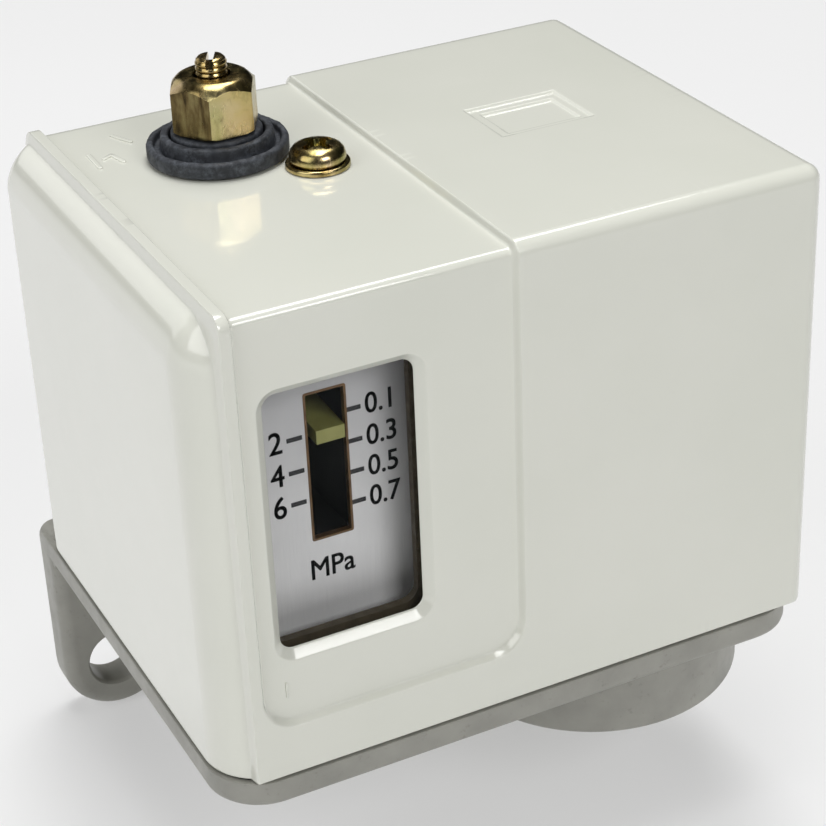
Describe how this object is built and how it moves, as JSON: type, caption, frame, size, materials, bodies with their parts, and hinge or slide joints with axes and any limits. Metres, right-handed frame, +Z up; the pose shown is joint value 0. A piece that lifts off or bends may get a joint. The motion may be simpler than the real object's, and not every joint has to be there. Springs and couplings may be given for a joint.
{
  "type": "pressure switch",
  "caption": "Wall-mounted pneumatic pressure switch: glossy box cover with scale window, top range adjuster, grey cast base with bolt lugs and a round pressure port housing.",
  "frame": {"origin": "rear face of the back plate, midway between the bolt lugs, level with the lower edge of the cover", "axes": "+Y out of the rear face into the wall, +Z up towards the adjuster, +X to the right seen from the front"},
  "size_m": [0.0838, 0.0716, 0.1066],
  "materials": {
    "white": "smooth glossy off-white enamel",
    "grey": "grey die casting, fine satin grain",
    "zinc": "yellow chromated zinc plating, satin",
    "steel": "plain sheet steel",
    "spring": "oiled spring wire",
    "brass": "bright brass",
    "rubber": "dusty black rubber",
    "clear": "clear moulded window",
    "dial": "satin silver plate, black printed scale",
    "pointer": "olive yellow paint",
    "switch": "black phenolic"
  },
  "bodies": {
    "base": {"base_casting": "grey", "pressure_housing": "grey", "housing_screw_1": "steel", "housing_screw_2": "steel", "housing_screw_3": "steel", "housing_seal_ring": "rubber", "bellows": "brass", "pivot_pin": "steel", "pivot_clip": "spring", "range_spring": "spring", "guide_bushing": "zinc", "range_bracket": "steel", "bracket_screw_1": "zinc", "bracket_screw_2": "zinc", "switch_foot_screw_1": "zinc", "switch_foot_screw_2": "zinc", "dial_screw": "zinc", "earth_screw": "zinc", "switch_body": "switch", "switch_bracket": "steel", "switch_screw_1": "zinc", "switch_screw_2": "zinc", "switch_nut_1": "zinc", "switch_nut_2": "zinc", "terminal_common": "brass", "terminal_normally_open": "brass", "terminal_normally_closed": "brass", "terminal_screw_1": "zinc", "terminal_screw_2": "zinc", "terminal_screw_3": "zinc", "dial_plate": "dial", "cover_gasket": "rubber", "dust_ring": "rubber", "cover_pillar": "zinc", "cable_grommet": "rubber"},
    "cover": {"cover": "white", "window_lens": "clear", "lens_seal_frame": "rubber", "adjuster_grommet": "rubber"},
    "cover_screw_washer": {"cover_screw_washer": "zinc"},
    "cover_screw": {"cover_screw": "zinc"},
    "adjusting_screw": {"adjusting_screw": "zinc"},
    "setpoint": {"spring_nut": "zinc", "setpoint_pointer": "pointer"},
    "lock_nut": {"lock_nut": "zinc"},
    "lever": {"main_lever": "steel", "actuator_screw": "brass", "actuator_nut": "zinc", "lower_spring_seat": "zinc"},
    "push_rod": {"push_rod": "steel"},
    "switch_button": {"switch_button": "pointer"}
  },
  "joints": [
    {"name": "cover_lift", "type": "slide", "parent": "base", "child": "cover", "axis": [0, 0, 1], "range_m": [0, 0.08]},
    {"name": "cover_screw_rise", "type": "slide", "parent": "cover", "child": "cover_screw_washer", "axis": [0, 0, 1], "range_m": [0, 0.0036]},
    {"name": "cover_screw_turn", "type": "hinge", "parent": "cover_screw_washer", "child": "cover_screw", "pos_m": [-0.00985, -0.0365, 0.0648], "axis": [0, 0, 1], "range_deg": [0, 2160]},
    {"name": "adjust_turn", "type": "hinge", "parent": "base", "child": "adjusting_screw", "pos_m": [-0.01905, -0.0265, 0.075], "axis": [0, 0, 1], "range_deg": [-3600, 972]},
    {"name": "setpoint_slide", "type": "slide", "parent": "base", "child": "setpoint", "axis": [0, 0, 1], "range_m": [-0.01, 0.0027], "deforming": ["range_spring"]},
    {"name": "lock_nut_turn", "type": "hinge", "parent": "base", "child": "lock_nut", "pos_m": [-0.01905, -0.0265, 0.0693], "axis": [0, 0, 1], "range_deg": [0, 360]},
    {"name": "lever_tilt", "type": "hinge", "parent": "base", "child": "lever", "pos_m": [0.035, -0.0487, 0.01], "axis": [0, 1, 0], "range_deg": [0, 2.5], "deforming": ["range_spring"]},
    {"name": "push_rod_slide", "type": "slide", "parent": "base", "child": "push_rod", "axis": [0, 0, 1], "range_m": [0, 0.0006], "deforming": ["bellows"]},
    {"name": "switch_button_slide", "type": "slide", "parent": "base", "child": "switch_button", "axis": [0, 0, 1], "range_m": [0, 0.0015]}
  ],
  "couplings": [
    {"joint": "cover_screw_turn", "follows": "cover_screw_rise", "rad_per_m": 10472},
    {"joint": "adjust_turn", "follows": "setpoint_slide", "rad_per_m": 6283.2},
    {"joint": "push_rod_slide", "follows": "lever_tilt", "m_per_rad": 0.01355},
    {"joint": "switch_button_slide", "follows": "lever_tilt", "m_per_rad": 0.033}
  ]
}
